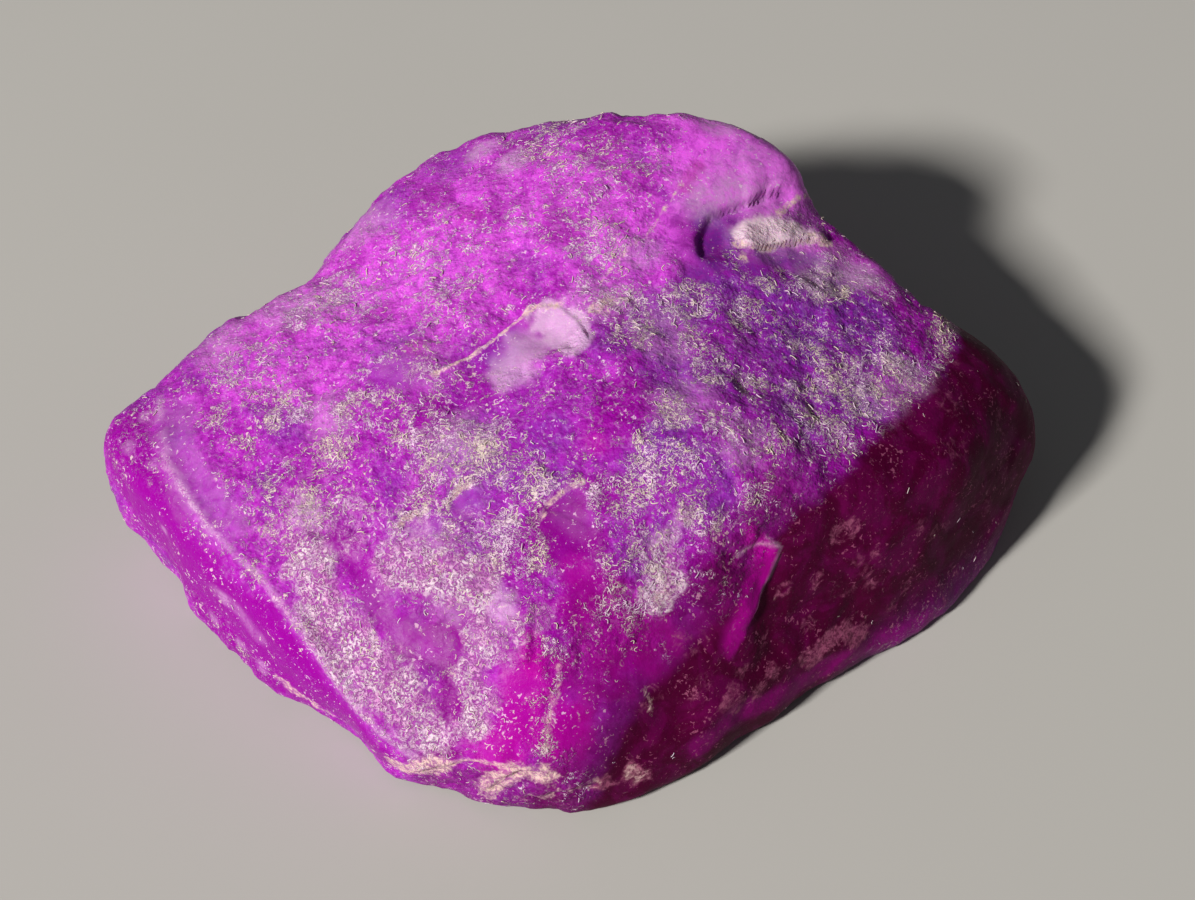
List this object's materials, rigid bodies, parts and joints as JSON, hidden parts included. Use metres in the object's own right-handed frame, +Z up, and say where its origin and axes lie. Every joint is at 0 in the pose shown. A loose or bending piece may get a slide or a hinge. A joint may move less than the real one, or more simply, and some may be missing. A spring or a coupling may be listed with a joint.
{
  "type": "sugilite nodule",
  "caption": "Rough purple sugilite stone: a low, four-cornered nodule with worn break faces, old chips and a broad flat underside it rests on.",
  "frame": {"origin": "under the middle of the stone's box, on the surface it rests on", "axes": "+X towards the stone's blunt right end, along its length; +Y towards its high back; +Z up, out of the top face"},
  "size_m": [0.0474, 0.0378, 0.0152],
  "materials": {
    "sugilite": "waxy, frosted with fine pale fibres"
  },
  "bodies": {
    "root": {"sugilite_nodule": "sugilite"}
  },
  "joints": []
}
